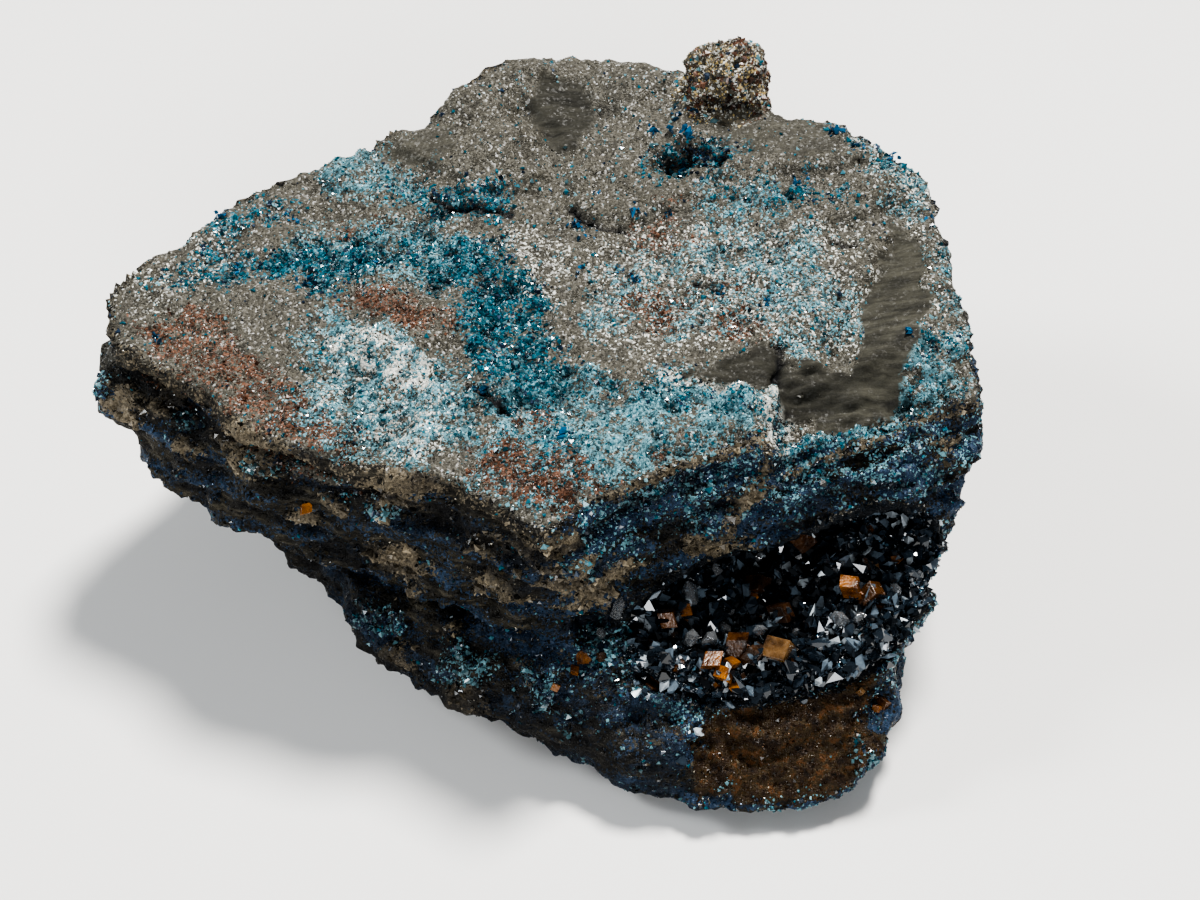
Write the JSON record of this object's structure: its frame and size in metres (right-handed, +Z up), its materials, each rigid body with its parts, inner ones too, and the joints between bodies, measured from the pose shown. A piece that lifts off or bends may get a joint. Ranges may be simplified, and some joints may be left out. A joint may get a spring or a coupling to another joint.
{
  "type": "lazulite specimen",
  "caption": "Broken slab of dark bedded rock crusted with blue lazulite, with a pocket of amber siderite, quartz and blue-black crystals in one face.",
  "frame": {"origin": "middle of the specimen's bounding box, on the surface it rests on", "axes": "+X along the rock's length, +Y from the crystal pocket's side to the back, +Z up"},
  "size_m": [0.1154, 0.1067, 0.0506],
  "materials": {
    "matrix": "matte",
    "crystals": "gloss"
  },
  "bodies": {
    "root": {"rock": "matrix", "pocket_crystals": "crystals"}
  },
  "joints": []
}
